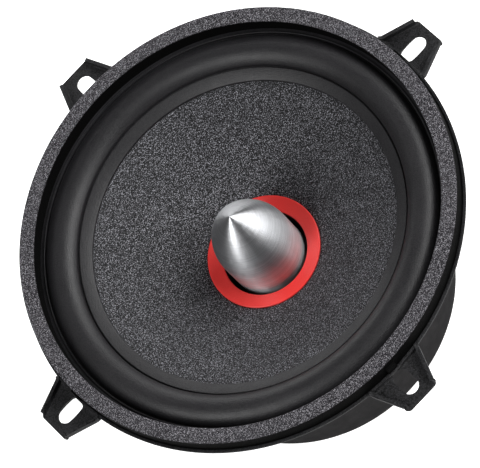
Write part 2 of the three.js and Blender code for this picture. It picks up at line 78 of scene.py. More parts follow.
# Basket
SHEET = 1.0                     # pressed steel of the shelf, base and ears
FRAME_SHEET = 0.8               # the same sheet where it is drawn into the bowl and flange
FLANGE_RADIUS = 66.1
FLANGE_Z = top_of("basket")
BASE_Z = base_of("basket")
RIM_RISE = 0.6                  # turned-up edge above the flange
RECESS_RADIUS = 62.8
RECESS_Z = FLANGE_Z - 1.1
BOWL_TOP = 57.2                 # radius of the bowl at the recess
BOWL_BOTTOM = 47.5              # and at the shelf
SHELF_Z = top_of("terminal_board") - 1.7
SHELF_RADIUS = 34.0
BASE_BORE = 22.0

# Ears
EAR_TIP = radius_of("basket")
EAR_FRONT = FLANGE_Z - 1.9
EAR_ROOT = 63.2
EAR_TIP_HALF = 5.15             # half the width at the tip
EAR_FLARE = 0.38                # growth of that half for each millimetre towards the flange
EAR_STEP = 1.1                  # rise of the root under the flange
SLOT_MIDDLE, SLOT_STRAIGHT, SLOT_HALF = 69.7, 1.8, 2.5
LIP_BEND = 0.45                 # bend radius of the side lips

# Front ring and seal
TRIM_RADIUS = 65.0
TRIM_BORE = 60.45
FACE_Z = top_of("front_gasket")
SEAL_BORE = 58.8

# Rubber edge and cone
LAND_Z = FLANGE_Z - 0.2         # outer land of the rubber edge
INNER_LAND_Z = LAND_Z - 0.6
RUBBER = 0.8
ROLL_MIDDLE = 53.9
ROLL_HALF_WIDTH = 4.6
ROLL_HEIGHT = top_of("surround") - LAND_Z
LAND_INNER = 45.4
LAND_DROP = 1.6                 # fall of the inner land towards the cone
PAPER = 0.8
PAPER_GAP = 0.8                 # front of the inner land down to the front of the cone
NECK_RADIUS = 13.1
COIL_RADIUS = 12.7
RING_RADIUS = radius_of("neck_ring")

# Plug and motor
PLUG_RADIUS = radius_of("phase_plug")
PLUG_TIP = top_of("phase_plug")
PLUG_NOSE = 20.0                # length of the ogive
POLE_RADIUS = 12.2
MAGNET_BORE = 22.0
PLATE_BORE = 14.05
BACK_PLATE = 5.0
BOOT_WALL = 1.8
BOOT_FLOOR = 1.6

# Terminals and leads, along and across their spoke
TERMINAL_SIDE = 5.0             # each terminal to the middle of the spoke
BOARD_INNER, BOARD_OUTER, BOARD_HALF = 41.0, 52.6, 11
BLADE_START, BLADE_FLAT_END, BLADE_OUTER = 42.5, 47.0, 53.7
EYELET_PLACE = 50.0
LEAD_START = 43.5
PAD_PLACE = 24.0
CONE_SLOPE = math.atan(0.5975)

# -------- outlines


def round_corners(corners, steps=6):
    """Open or closed outline from (r, z, fillet) corners: each corner with a fillet becomes an arc that
    touches both of its sides. The first and last corners of the list stay sharp."""
    points = np.array([c[:2] for c in corners], float)
    made = [points[:1]]
    for before, here, after, corner in zip(points, points[1:], points[2:], corners[1:]):
        into, out = before - here, after - here
        into_length, out_length = np.linalg.norm(into), np.linalg.norm(out)
        into, out = into / into_length, out / out_length
        half = math.acos(float(np.clip(into @ out, -1, 1))) / 2
        fillet = corner[2]
        if fillet <= 0 or half > math.pi / 2 - 0.01:
            made.append(here[None])
            continue
        reach = min(fillet / math.tan(half), 0.49 * into_length, 0.49 * out_length)
        fillet = reach * math.tan(half)
        middle = here + (into + out) / np.linalg.norm(into + out) * (fillet / math.sin(half))
        first, last = here + into * reach - middle, here + out * reach - middle
        sweep = math.atan2(first[0] * last[1] - first[1] * last[0], float(first @ last))
        turn = np.linspace(0, sweep, steps + 1)[:, None]
        across = np.array([-first[1], first[0]])
        made.append(middle + first * np.cos(turn) + across * np.sin(turn))
    made.append(points[-1:])
    return np.vstack(made)


def closed_outline(corners, steps=6):
    """Closed outline: starts half way along the last side, so that every corner can be rounded."""
    first, last = np.array(corners[0][:2], float), np.array(corners[-1][:2], float)
    middle = (*((first + last) / 2), 0)
    return round_corners([middle, *corners, middle], steps)[:-1]


def divide(outline, longest):
    """Adds points along the straight runs, so that no step is longer than the given one."""
    steps = np.linalg.norm(np.diff(outline, axis=0), axis=1)
    counts = np.maximum(1, np.ceil(steps / longest)).astype(int)
    parts = [np.linspace(a, b, n, endpoint=False) for a, b, n in zip(outline, outline[1:], counts)]
    return np.vstack([*parts, outline[-1:]])


# -------- meshes


SMOOTH_BELOW = math.radians(32)
MERGE_DISTANCE, SMALLEST_EDGE = 1e-7, 1e-8


def link_piece(name, mesh, work):
    """Closes the seams of the edited mesh, writes it back and shows it at the origin with soft shading."""
    bmesh.ops.remove_doubles(work, verts=work.verts, dist=MERGE_DISTANCE)
    bmesh.ops.dissolve_degenerate(work, edges=work.edges, dist=SMALLEST_EDGE)
    work.to_mesh(mesh)
    work.free()
    mesh.shade_smooth()
    mesh.set_sharp_from_angle(angle=SMOOTH_BELOW)
    piece = bpy.data.objects.new(name, mesh)
    bpy.context.scene.collection.objects.link(piece)
    return piece


def new_piece(name, vertices, faces):
    """A mesh object at the origin from vertices in millimetres."""
    mesh = bpy.data.meshes.new(name)
    mesh.from_pydata((np.asarray(vertices) * MM).tolist(), [], [list(f) for f in faces])
    work = bmesh.new()
    work.from_mesh(mesh)
    return link_piece(name, mesh, work)


def sheet_piece(name, points, faces, thickness, bevel):
    """A pressed sheet given by its front face: the faces are turned the same way, to the front, and the
    wall is added behind them."""
    sheet = new_piece(name, points, faces)
    work = bmesh.new()
    work.from_mesh(sheet.data)
    bmesh.ops.recalc_face_normals(work, faces=work.faces)
    if sum(face.normal.z * face.calc_area() for face in work.faces) < 0:
        bmesh.ops.reverse_faces(work, faces=work.faces)
    work.to_mesh(sheet.data)
    work.free()
    wall = sheet.modifiers.new("wall", "SOLIDIFY")
    wall.thickness = thickness * MM
    wall.offset = -1
    return add_bevel(sheet, bevel)


def grid_faces(rows, columns, wrap_rows=False, wrap_columns=False):
    """Quads of a grid of rows by columns vertices, joined end to end where asked."""
    i = np.arange(rows if wrap_rows else rows - 1)
    j = np.arange(columns if wrap_columns else columns - 1)
    i, j = np.meshgrid(i, j, indexing="ij")
    i2, j2 = (i + 1) % rows, (j + 1) % columns
    quad = np.stack([i * columns + j, i2 * columns + j, i2 * columns + j2, i * columns + j2], -1)
    return quad.reshape(-1, 4)


def turn_outline(outline, sides):
    """Grid of points: row k is the outline turned about Z by k / sides of a full turn."""
    angle = np.arange(sides)[:, None] * 2 * math.pi / sides
    r, z = outline[:, 0][None], outline[:, 1][None]
    return np.stack([r * np.cos(angle), r * np.sin(angle), z + 0 * angle], -1)


def turned_piece(name, outline, sides=256, closed=True, centre=(0, 0)):
    """Solid of revolution. A closed outline is joined to its start; an open one starts and ends on the
    axis. It is put in the order that makes the faces point outwards."""
    r, z = outline[:, 0], outline[:, 1]
    if np.sum(r * np.roll(z, -1) - np.roll(r, -1) * z) < 0:
        outline = outline[::-1]
    points = turn_outline(outline, sides).reshape(-1, 3) + np.array([*centre, 0])
    return new_piece(name, points, grid_faces(sides, len(outline), True, closed))


def join_grids(parts):
    """Puts several (points, faces) pairs into one list of points and one of faces."""
    starts = np.cumsum([0] + [len(points) for points, _ in parts[:-1]])
    return np.vstack([p for p, _ in parts]), np.vstack([f + s for (_, f), s in zip(parts, starts)])


def add_bevel(piece, width):
    """Rounds the edges sharper than 50 degrees; the width is in millimetres."""
    edge = piece.modifiers.new("edges", "BEVEL")
    edge.width = width * MM
    edge.segments = 2
    edge.limit_method = "ANGLE"
    edge.angle_limit = math.radians(50)
    return piece


def block(name, low, high, bevel, angle):
    """A box with rounded edges between two corners in millimetres, turned about Z."""
    work = bmesh.new()
    bmesh.ops.create_cube(work, size=1)
    bmesh.ops.scale(work, vec=Vector(high) - Vector(low), verts=work.verts)
    bmesh.ops.translate(work, vec=(Vector(high) + Vector(low)) / 2, verts=work.verts)
    bmesh.ops.bevel(work, geom=work.edges[:], offset=bevel, segments=3, profile=0.5, affect="EDGES")
    bmesh.ops.rotate(work, verts=work.verts, matrix=Matrix.Rotation(angle, 3, "Z"))
    bmesh.ops.scale(work, vec=(MM, MM, MM), verts=work.verts)
    return link_piece(name, bpy.data.meshes.new(name), work)


def stands_for(piece, node, body, material, also=()):
    """The piece rides a body and takes the place of one node, and of any others named."""
    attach(piece, body)
    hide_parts(node, *also)
    return finish_piece(piece, material)


def goes_with(piece, body, material):
    """The piece rides a body as a detail that no node of its own stands for."""
    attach(piece, body)
    return finish_piece(piece, material)


def finish_piece(piece, material):
    """One material on the whole piece."""
    piece.data.materials.clear()
    piece.data.materials.append(material)
    return piece


def flexes(piece):
    """Bakes the piece's placement into its mesh and reads back its vertex positions, which nothing uses yet."""
    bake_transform(piece)
    place = np.zeros(len(piece.data.vertices) * 3, np.float32)
    piece.data.vertices.foreach_get("co", place)


# -------- node helpers


def add_node(tree, kind, **settings):
    made = tree.nodes.new(kind)
    for key, value in settings.items():
        setattr(made, key, value)
    return made


def feed(tree, source, target):
    """Links an output to an input, or sets the input to a plain value."""
    if isinstance(source, bpy.types.NodeSocket):
        tree.links.new(source, target)
    else:
        target.default_value = source


def maths(tree, operation, *values):
    made = add_node(tree, "ShaderNodeMath", operation=operation)
    for value, socket in zip(values, made.inputs):
        feed(tree, value, socket)
    return made.outputs[0]


def times(tree, first, second):
    return maths(tree, "MULTIPLY", first, second)


def plus(tree, first, second):
    return maths(tree, "ADD", first, second)


def noise(tree, vector, scale, detail=3.0, roughness=0.55, distortion=0.0):
    made = add_node(tree, "ShaderNodeTexNoise")
    feed(tree, vector, made.inputs["Vector"])
    feed(tree, scale, made.inputs["Scale"])
    made.inputs["Detail"].default_value = detail
    made.inputs["Roughness"].default_value = roughness
    made.inputs["Distortion"].default_value = distortion
    return made.outputs[0]


def cells(tree, vector, scale):
    """Distance to the middle of the nearest of many scattered cells."""
    made = add_node(tree, "ShaderNodeTexVoronoi", feature="F1")
    feed(tree, vector, made.inputs["Vector"])
    feed(tree, scale, made.inputs["Scale"])
    return made.outputs["Distance"]


def spread(tree, value, low, high, to_low=0.0, to_high=1.0):
    """Maps low..high to to_low..to_high and holds it there outside."""
    made = add_node(tree, "ShaderNodeMapRange", clamp=True)
    for source, name in ((value, "Value"), (low, "From Min"), (high, "From Max"),
                         (to_low, "To Min"), (to_high, "To Max")):
        feed(tree, source, made.inputs[name])
    return made.outputs["Result"]


def mix_colour(tree, factor, first, second):
    made = add_node(tree, "ShaderNodeMix", data_type="RGBA")
    feed(tree, factor, made.inputs[0])
    feed(tree, first, made.inputs[6])
    feed(tree, second, made.inputs[7])
    return made.outputs[2]


def bump(tree, height, strength, distance):
    made = add_node(tree, "ShaderNodeBump")
    made.inputs["Strength"].default_value = strength
    made.inputs["Distance"].default_value = distance
    feed(tree, height, made.inputs["Height"])
    return made.outputs["Normal"]


def object_place(tree):
    return add_node(tree, "ShaderNodeTexCoord").outputs["Object"]


def split_place(tree, vector):
    made = add_node(tree, "ShaderNodeSeparateXYZ")
    feed(tree, vector, made.inputs[0])
    return made.outputs


def start_group(name, inputs, outputs):
    """An empty node group with named float, colour or vector sockets."""
    group = bpy.data.node_groups.new(name, "ShaderNodeTree")
    kinds = {"float": "NodeSocketFloat", "colour": "NodeSocketColor", "vector": "NodeSocketVector"}
    for label, (kind, value) in inputs.items():
        socket = group.interface.new_socket(label, in_out="INPUT", socket_type=kinds[kind])
        socket.default_value = value
    for label, kind in outputs.items():
        group.interface.new_socket(label, in_out="OUTPUT", socket_type=kinds[kind])
    return group, group.nodes.new("NodeGroupInput").outputs, group.nodes.new("NodeGroupOutput").inputs


def use_group(tree, group, **values):
    made = add_node(tree, "ShaderNodeGroup", node_tree=group)
    for label, value in values.items():
        feed(tree, value, made.inputs[label.replace("_", " ")])
    return made.outputs


def grain_group():
    """Fine pebbles: rounded cells over soft noise. Height runs from 0 in the pits to 1 on the crowns."""
    group, given, result = start_group(
        "pebble grain",
        {"Scale": ("float", 2000.0), "Rounding": ("float", 0.5)},
        {"Height": "float", "Mask": "float"})
    place = object_place(group)
    cell = cells(group, place, given["Scale"])
    crown = spread(group, cell, 0.1, 0.75, 1.0, 0.0)
    soft = noise(group, place, times(group, given["Scale"], 0.35), 2.0)
    height = plus(group, times(group, crown, given["Rounding"]), times(group, soft, 0.5))
    feed(group, height, result["Height"])
    feed(group, crown, result["Mask"])
    return group


def pebble_group():
    """Salt and pepper: two soft noises of nearly the same size, sharpened to light crowns and dark pits."""
    group, given, result = start_group(
        "pebble", {"Scale": ("float", 1500.0)}, {"Crown": "float", "Height": "float"})
    place = object_place(group)
    first = noise(group, place, given["Scale"], 1.0, 0.5, 0.4)
    second = noise(group, place, times(group, given["Scale"], 1.63), 1.0, 0.5)
    both = plus(group, times(group, first, 0.6), times(group, second, 0.4))
    crown = spread(group, both, 0.5, 0.64)
    feed(group, maths(group, "POWER", crown, 1.4), result["Crown"])
    feed(group, spread(group, both, 0.35, 0.65), result["Height"])
    return group


def wear_group():
    """Slow change of tone and gloss over a surface, as from handling."""
    group, given, result = start_group(
        "handling", {"Scale": ("float", 40.0)}, {"Tone": "float", "Gloss": "float"})
    place = object_place(group)
    feed(group, spread(group, noise(group, place, given["Scale"], 4.0), 0.3, 0.7), result["Tone"])
    finer = noise(group, place, times(group, given["Scale"], 7.0), 5.0, 0.65)
    feed(group, spread(group, finer, 0.35, 0.75), result["Gloss"])
    return group


def lathe_group():
    """Turning marks: the value depends on height less distance from the axis, so that it runs in rings
    round a nose or a shank, with a fine even feed mark among uneven ones."""
    group, given, result = start_group(
        "turning marks", {"Pitch": ("float", 0.0005)}, {"Height": "float", "Tone": "float"})
    x, y, z = split_place(group, object_place(group))
    radius = maths(group, "SQRT", plus(group, times(group, x, x), times(group, y, y)))
    across = maths(group, "SUBTRACT", z, radius)
    rings = add_node(group, "ShaderNodeCombineXYZ")
    feed(group, times(group, x, 0.015), rings.inputs[0])
    feed(group, times(group, y, 0.015), rings.inputs[1])
    feed(group, across, rings.inputs[2])
    turn = maths(group, "DIVIDE", across, given["Pitch"])
    feed_mark = maths(group, "SINE", times(group, turn, math.tau))
    fine = noise(group, rings.outputs[0], 7000.0, 3.0, 0.7)
    broad = noise(group, rings.outputs[0], 900.0, 2.0)
    height = plus(group, fine, times(group, feed_mark, 0.2))
    feed(group, height, result["Height"])
    tone = plus(group, times(group, height, 0.6), times(group, broad, 0.4))
    feed(group, tone, result["Tone"])
    return group


def weave_group():
    """Plain weave of two threads that cross along the object's X and Y."""
    group, given, result = start_group(
        "weave", {"Pitch": ("float", 0.0006)}, {"Height": "float", "Thread": "float"})
    x, y, _ = split_place(group, object_place(group))
    turn = maths(group, "DIVIDE", math.pi, given["Pitch"])
    wave_x = maths(group, "SINE", times(group, x, turn))
    wave_y = maths(group, "SINE", times(group, y, turn))
    pick = maths(group, "GREATER_THAN", times(group, wave_x, wave_y), 0.0)
    warp = times(group, maths(group, "ABSOLUTE", wave_x), pick)
    weft = times(group, maths(group, "ABSOLUTE", wave_y), maths(group, "SUBTRACT", 1.0, pick))
    height = plus(group, warp, weft)
    feed(group, height, result["Height"])
    feed(group, pick, result["Thread"])
    return group


GRAIN = grain_group()
PEBBLE = pebble_group()
HANDLING = wear_group()
LATHE = lathe_group()
WEAVE = weave_group()


def start_material(name, **constants):
    """A new material and its principled shader, with constant sockets set directly."""
    material = bpy.data.materials.new(name)
    material.use_nodes = True
    shader = material.node_tree.nodes["Principled BSDF"]
    for label, value in constants.items():
        shader.inputs[label.replace("_", " ")].default_value = value
    return material, material.node_tree, shader.inputs


def colour(red, green, blue):
    return (red, green, blue, 1.0)


def plain_finish(name, dark, light, rough_low, rough_high, grain_scale, grain_depth, metallic=0.0,
                 grain_share=0.65, **constants):
    """A grained finish: tone and gloss drift with handling, and fine grain gives relief and tone."""
    material, tree, sockets = start_material(name, Metallic=metallic, **constants)
    handling = use_group(tree, HANDLING, Scale=35.0)
    grain = use_group(tree, GRAIN, Scale=grain_scale)
    tone = plus(tree, times(tree, handling["Tone"], 1 - grain_share), times(tree, grain["Mask"], grain_share))
    feed(tree, mix_colour(tree, tone, dark, light), sockets["Base Color"])
    feed(tree, spread(tree, handling["Gloss"], 0.0, 1.0, rough_low, rough_high), sockets["Roughness"])
    feed(tree, bump(tree, grain["Height"], 1.0, grain_depth), sockets["Normal"])
    return material


def trim_finish():
    """Pebbled on the face only: below the face's edge the walls are plain and painted nearly black, a painted
    shade for walls that stand in shadow.
    """
    material, tree, sockets = start_material("pebbled trim", Specular_IOR_Level=0.05)
    pebble = use_group(tree, PEBBLE, Scale=4000.0)
    handling = use_group(tree, HANDLING, Scale=35.0)
    height = split_place(tree, object_place(tree))[2]
    # height mask: 1 on the face, 0 on the walls, which take the painted shade
    face = spread(tree, height, (FACE_Z - 0.35) * MM, (FACE_Z - 0.1) * MM)
    crowned = mix_colour(tree, pebble["Crown"], colour(0.014, 0.013, 0.015), colour(0.38, 0.37, 0.40))
    base = mix_colour(tree, times(tree, handling["Tone"], 0.25), crowned,
                      colour(0.07, 0.068, 0.075))
    # below the face the walls get near-black colour: painted shade, not the ring's own colour
    feed(tree, mix_colour(tree, face, colour(0.002, 0.002, 0.002), base), sockets["Base Color"])
    feed(tree, spread(tree, pebble["Crown"], 0.0, 1.0, 0.85, 0.6), sockets["Roughness"])
    relief = times(tree, pebble["Height"], face)
    feed(tree, bump(tree, relief, 0.8, 0.00015), sockets["Normal"])
    return material


def pulp_finish():
    """Pressed pulp: dark felt with light fibre ends, lit by a faint sheen."""
    material, tree, sockets = start_material("speckled pulp", Specular_IOR_Level=0.25)
    speckle = use_group(tree, PEBBLE, Scale=3200.0)
    handling = use_group(tree, HANDLING, Scale=30.0)
    fibre = mix_colour(tree, speckle["Crown"], colour(0.0012, 0.0012, 0.0015), colour(0.30, 0.30, 0.33))
    base = mix_colour(tree, times(tree, handling["Tone"], 0.25), fibre,
                      colour(0.012, 0.012, 0.014))
    feed(tree, base, sockets["Base Color"])
    feed(tree, spread(tree, speckle["Crown"], 0.0, 1.0, 0.7, 0.45), sockets["Roughness"])
    feed(tree, bump(tree, speckle["Height"], 0.6, 0.00012), sockets["Normal"])
    return material


def turned_finish(name, dark, light, roughness, depth):
    """Metal turned on a lathe: the shine stretches across the rings, out from the tip."""
    material, tree, sockets = start_material(name, Metallic=1.0, Anisotropic=0.85, Anisotropic_Rotation=0.25)
    marks = use_group(tree, LATHE)
    handling = use_group(tree, HANDLING, Scale=60.0)
    feed(tree, mix_colour(tree, marks["Tone"], dark, light), sockets["Base Color"])
    feed(tree, spread(tree, handling["Gloss"], 0.0, 1.0, roughness - 0.03, roughness + 0.04),
         sockets["Roughness"])
    feed(tree, bump(tree, marks["Height"], 0.5, depth), sockets["Normal"])
    tangent = add_node(tree, "ShaderNodeTangent", direction_type="RADIAL", axis="Z")
    feed(tree, tangent.outputs[0], sockets["Tangent"])
    return material


def woven_finish():
    """Amber cloth stiffened with resin: lighter on the crowns of its threads."""
    material, tree, sockets = start_material("resined cloth", Specular_IOR_Level=0.3)
    weave = use_group(tree, WEAVE)
    handling = use_group(tree, HANDLING, Scale=50.0)
    base = mix_colour(tree, weave["Height"], colour(0.22, 0.12, 0.03), colour(0.50, 0.33, 0.11))
    base = mix_colour(tree, times(tree, handling["Tone"], 0.3), base, colour(0.30, 0.18, 0.06))
    feed(tree, base, sockets["Base Color"])
    feed(tree, spread(tree, weave["Thread"], 0.0, 1.0, 0.7, 0.85), sockets["Roughness"])
    feed(tree, bump(tree, weave["Height"], 0.7, 0.0001), sockets["Normal"])
    return material


PAINT = plain_finish("textured paint", colour(0.003, 0.003, 0.003), colour(0.034, 0.034, 0.037),
                     0.5, 0.65, 2600.0, 0.00008, grain_share=0.8, Specular_IOR_Level=0.22)
TRIM = trim_finish()
RUBBER_LOOK = plain_finish("satin rubber", colour(0.004, 0.004, 0.005), colour(0.020, 0.019, 0.021),
                           0.44, 0.54, 3000.0, 0.00006, grain_share=0.7, Specular_IOR_Level=0.40)
BOOT = plain_finish("moulded boot", colour(0.004, 0.0035, 0.004), colour(0.008, 0.007, 0.008),
                    0.6, 0.75, 3500.0, 0.00002, Specular_IOR_Level=0.16)
FOAM = plain_finish("sealing foam", colour(0.006, 0.006, 0.007), colour(0.020, 0.020, 0.022),
                    0.9, 1.0, 1800.0, 0.0003)
PULP = pulp_finish()
RED = plain_finish("red ring", colour(0.64, 0.028, 0.025), colour(0.72, 0.042, 0.036),
                   0.3, 0.42, 4200.0, 0.00001)
ALUMINIUM = turned_finish("turned aluminium", colour(0.24, 0.245, 0.26), colour(0.90, 0.91, 0.93),
                          0.40, 0.00010)
CLOTH = woven_finish()
# black zinc finish kept near-black, partly painted shade for the pole seen down the gap round the plug
DARK_STEEL_GAP_SHADE = plain_finish("black zinc plate and gap shade", colour(0.020, 0.020, 0.021), colour(0.050, 0.050, 0.052),
                     0.35, 0.5, 2400.0, 0.00003, metallic=0.6)
RIVET = plain_finish("bright zinc plate", colour(0.36, 0.36, 0.37), colour(0.50, 0.50, 0.51),
                     0.3, 0.45, 2400.0, 0.00003, metallic=1.0)
FERRITE = plain_finish("pressed ferrite", colour(0.018, 0.018, 0.019), colour(0.045, 0.045, 0.046),
                       0.6, 0.8, 1800.0, 0.00008)
COPPER = plain_finish("enamelled copper", colour(0.55, 0.20, 0.08), colour(0.72, 0.32, 0.15),
                      0.25, 0.4, 2500.0, 0.00002, metallic=1.0)
# near-black on the coil former: painted shade, so the deep gap round the plug reads dark
GAP_SHADE_FILM = plain_finish("near-black film as gap shade", colour(0.006, 0.005, 0.004), colour(0.012, 0.010, 0.008),
                    0.35, 0.5, 3000.0, 0.00001)
BOARD = plain_finish("moulded board", colour(0.010, 0.010, 0.011), colour(0.020, 0.020, 0.021),
                     0.4, 0.55, 2600.0, 0.00004)
TIN = plain_finish("tin plate", colour(0.40, 0.40, 0.39), colour(0.47, 0.47, 0.46),
                   0.22, 0.36, 3000.0, 0.000004, metallic=1.0)
BRASS = plain_finish("plain brass", colour(0.55, 0.40, 0.14), colour(0.72, 0.55, 0.24),
                     0.25, 0.4, 3000.0, 0.00002, metallic=1.0)

# -------- basket


def smooth_step(value):
    """0 below 0, 1 above 1, and three squares less two cubes of the value between."""
    held = np.clip(value, 0, 1)
    return held * held * (3 - 2 * held)


WALL_LOW, WALL_HIGH = 0.075, 0.93     # shares of the bowl wall that the window panels fill
WINDOW_LOW, WINDOW_HIGH = 0.13, 0.80
WINDOW_CORNER = 7                     # power of the superellipse: higher is squarer
WINDOW_HALF = math.radians(27)
PANEL_HALF = math.radians(45)
PANEL_STEPS = 96
SPOKE_STEPS = 26
PANEL_LOOPS = 19
RIM_TURN = 0.9                        # how far the window's edge turns out
RIB_HALF = math.radians(8.5)          # rib in a spoke: half its width, its flank, its depth
RIB_FLANK = math.radians(4)
RIB_DEPTH = 1.0
RIB_LOW, RIB_HIGH, RIB_FADE = 0.17, 0.84, 0.1


def wall_point(angle, share, lift):
    """Point on the bowl's straight wall: share runs from the shelf to the flange, lift is outwards."""
    low, high = np.array([BOWL_BOTTOM, SHELF_Z]), np.array([BOWL_TOP, RECESS_Z])
    along = high - low
    out = np.array([along[1], -along[0]]) / np.linalg.norm(along)
    r = low[0] + along[0] * share + out[0] * lift
    z = low[1] + along[1] * share + out[1] * lift
    return np.stack([r * np.cos(angle), r * np.sin(angle), z], -1)


def rectangle_loop(half_width, low, high, across, up):
    """Closed loop round a rectangle from its lower left corner: across steps along each level side and
    up steps along each upright one."""
    level, rise = np.linspace(-1, 1, across, endpoint=False), np.linspace(0, 1, up, endpoint=False)
    a = np.concatenate([level, np.ones(up), -level, -np.ones(up)]) * half_width
    b = np.concatenate([np.zeros(across), rise, np.ones(across), 1 - rise])
    return a, low + (high - low) * b


def rounded_loop(half_width, low, high, corner, across, up):
    """The same loop pulled onto a superellipse: |a|^corner + |b|^corner = 1 over the half sides."""
    a, b = rectangle_loop(1, -1, 1, across, up)
    squeeze = np.power(np.abs(a) ** corner + np.abs(b) ** corner, -1 / corner)
    return a * squeeze * half_width, (low + high) / 2 + b * squeeze * (high - low) / 2


def window_panel(centre):
    """A quarter of the bowl wall with one rounded window: loops run from the window's edge (0) to the
    panel's edge (1). The window's rim turns outwards, and a rib is pressed into each spoke."""
    outer_a, outer_b = rectangle_loop(PANEL_HALF, WALL_LOW, WALL_HIGH, PANEL_STEPS, SPOKE_STEPS)
    inner_a, inner_b = rounded_loop(
        WINDOW_HALF, WINDOW_LOW, WINDOW_HIGH, WINDOW_CORNER, PANEL_STEPS, SPOKE_STEPS)
    share = np.linspace(0, 1, PANEL_LOOPS)[:, None] ** 1.25
    angle = inner_a + (outer_a - inner_a) * share
    height = inner_b + (outer_b - inner_b) * share
    rim = RIM_TURN * (1 - smooth_step(share / 0.16)) + 0 * angle
    beside = smooth_step((RIB_HALF - np.abs(np.abs(angle) - PANEL_HALF)) / RIB_FLANK)
    within = smooth_step((height - RIB_LOW) / RIB_FADE) * smooth_step((RIB_HIGH - height) / RIB_FADE)
    points = wall_point(angle + centre, height, rim + RIB_DEPTH * beside * within)
    rows, columns = angle.shape
    return points.reshape(-1, 3), grid_faces(rows, columns, False, True)[:, ::-1]


def basket_sheet():
    """One pressed sheet: turned-up rim, flange, recess, bowl with four windows, shelf, riser and base."""
    low, high = np.array([BOWL_BOTTOM, SHELF_Z]), np.array([BOWL_TOP, RECESS_Z])
    wall_top, wall_foot = low + (high - low) * WALL_HIGH, low + (high - low) * WALL_LOW
    rim = FLANGE_RADIUS - FRAME_SHEET
    upper = round_corners([
        (rim, FLANGE_Z, 0), (rim, FLANGE_Z - RIM_RISE, 0.3), (RECESS_RADIUS + 0.1, FLANGE_Z - RIM_RISE, 0.3),
        (RECESS_RADIUS, RECESS_Z, 0.2), (*high, 1.4), (*wall_top, 0)])
    lower = round_corners([
        (*wall_foot, 0), (*low, 1.6), (SHELF_RADIUS, SHELF_Z, 1.2),
        (SHELF_RADIUS - 1, BASE_Z + SHEET, 1.2), (BASE_BORE, BASE_Z + SHEET, 0)])
    sides = 4 * PANEL_STEPS
    parts = []
    for outline in (divide(upper, 1.2), divide(lower, 1.5)):
        points = turn_outline(outline, sides).reshape(-1, 3)
        parts.append((points, grid_faces(sides, len(outline), True, False)))
    parts += [window_panel(quarter * math.pi / 2) for quarter in range(4)]
    return join_grids(parts)


def half_width_at(radius):
    """Half the width of an ear, which grows towards the flange."""
    return EAR_TIP_HALF + (EAR_TIP - radius) * EAR_FLARE


def ear_sheet():
    """One ear on +X: loops run from the slot's edge out to the bend line, which lies one bend and one wall
    inside the outer edge, and on from there the two sides bend up through a quarter circle into a lip
    while the tip stays flat. The root steps up under the flange."""
    inset = LIP_BEND + SHEET
    near, far = half_width_at(EAR_ROOT), half_width_at(EAR_TIP)
    edge = divide(closed_outline([
        (EAR_ROOT, -near, 0), (EAR_TIP, -far, 1.1), (EAR_TIP, far, 1.1), (EAR_ROOT, near, 0)], 10), 0.4)
    ahead = np.roll(edge, -1, axis=0) - np.roll(edge, 1, axis=0)
    sideways = np.abs(ahead[:, 0]) / np.linalg.norm(ahead, axis=1)
    bent = smooth_step((sideways - 0.62) / 0.25) * smooth_step((edge[:, 0] - 64.4) / 0.8)
    x = np.minimum(edge[:, 0], EAR_TIP - inset)
    limit = half_width_at(x) - 1.07 * inset
    line = np.stack([x, np.clip(edge[:, 1], -limit, limit)], -1)
    line += 0.2 * (edge - line)
    turn = np.arctan2(line[:, 1], line[:, 0] - SLOT_MIDDLE)
    straight = np.clip(5 * np.cos(turn), -SLOT_STRAIGHT, SLOT_STRAIGHT)
    slot = np.stack([
        SLOT_MIDDLE + straight + SLOT_HALF * np.cos(turn), SLOT_HALF * np.sin(turn)], -1)
    share = np.linspace(0, 1, 12)[:, None, None]
    plate = slot + (line - slot) * share
    plate = np.concatenate([plate, 0 * plate[..., :1]], -1)
    bend = np.linspace(0, math.pi / 2, 6)[1:]
    rise = FLANGE_Z - EAR_FRONT - LIP_BEND
    reach = np.concatenate([LIP_BEND * np.sin(bend), [LIP_BEND] * 2])[:, None] / inset
    lift = np.concatenate([LIP_BEND * (1 - np.cos(bend)), LIP_BEND + rise * np.array([0.5, 1])])[:, None]
    flat = np.linspace(0, 1, len(reach) + 1)[1:, None]
    out = (reach * bent + flat * (1 - bent))[..., None]
    lip = np.concatenate([line + (edge - line) * out, (lift * bent)[..., None]], -1)
    loops = np.concatenate([plate, lip])
    points = loops.reshape(-1, 3)
    points[:, 2] += EAR_FRONT + EAR_STEP * smooth_step((FLANGE_RADIUS - points[:, 0]) / 1.3)
    return points, grid_faces(*loops.shape[:2], False, True)


def build_basket():
    """Pressed frame, four ears and the tab that carries the terminal board."""
    sheet = sheet_piece("basket_frame", *basket_sheet(), FRAME_SHEET, 0.2)
    stands_for(sheet, "basket", CHASSIS, PAINT)
    points, quads = ear_sheet()
    for name, quarter in (("right", 0), ("back", 1), ("left", 2), ("near", 3)):
        turn = np.array(Matrix.Rotation(quarter * math.pi / 2, 3, "Z"))
        ear = sheet_piece(f"mounting_ear_{name}", points @ turn.T, quads, SHEET, 0.25)
        goes_with(ear, CHASSIS, PAINT)
    tab = block("terminal_tab", (BOWL_BOTTOM - 1, -BOARD_HALF, SHELF_Z - SHEET),
                (BOARD_OUTER, BOARD_HALF, SHELF_Z), 0.3, TERMINAL_ANGLE)
    goes_with(tab, CHASSIS, PAINT)


# -------- front ring, seal, roll and cone


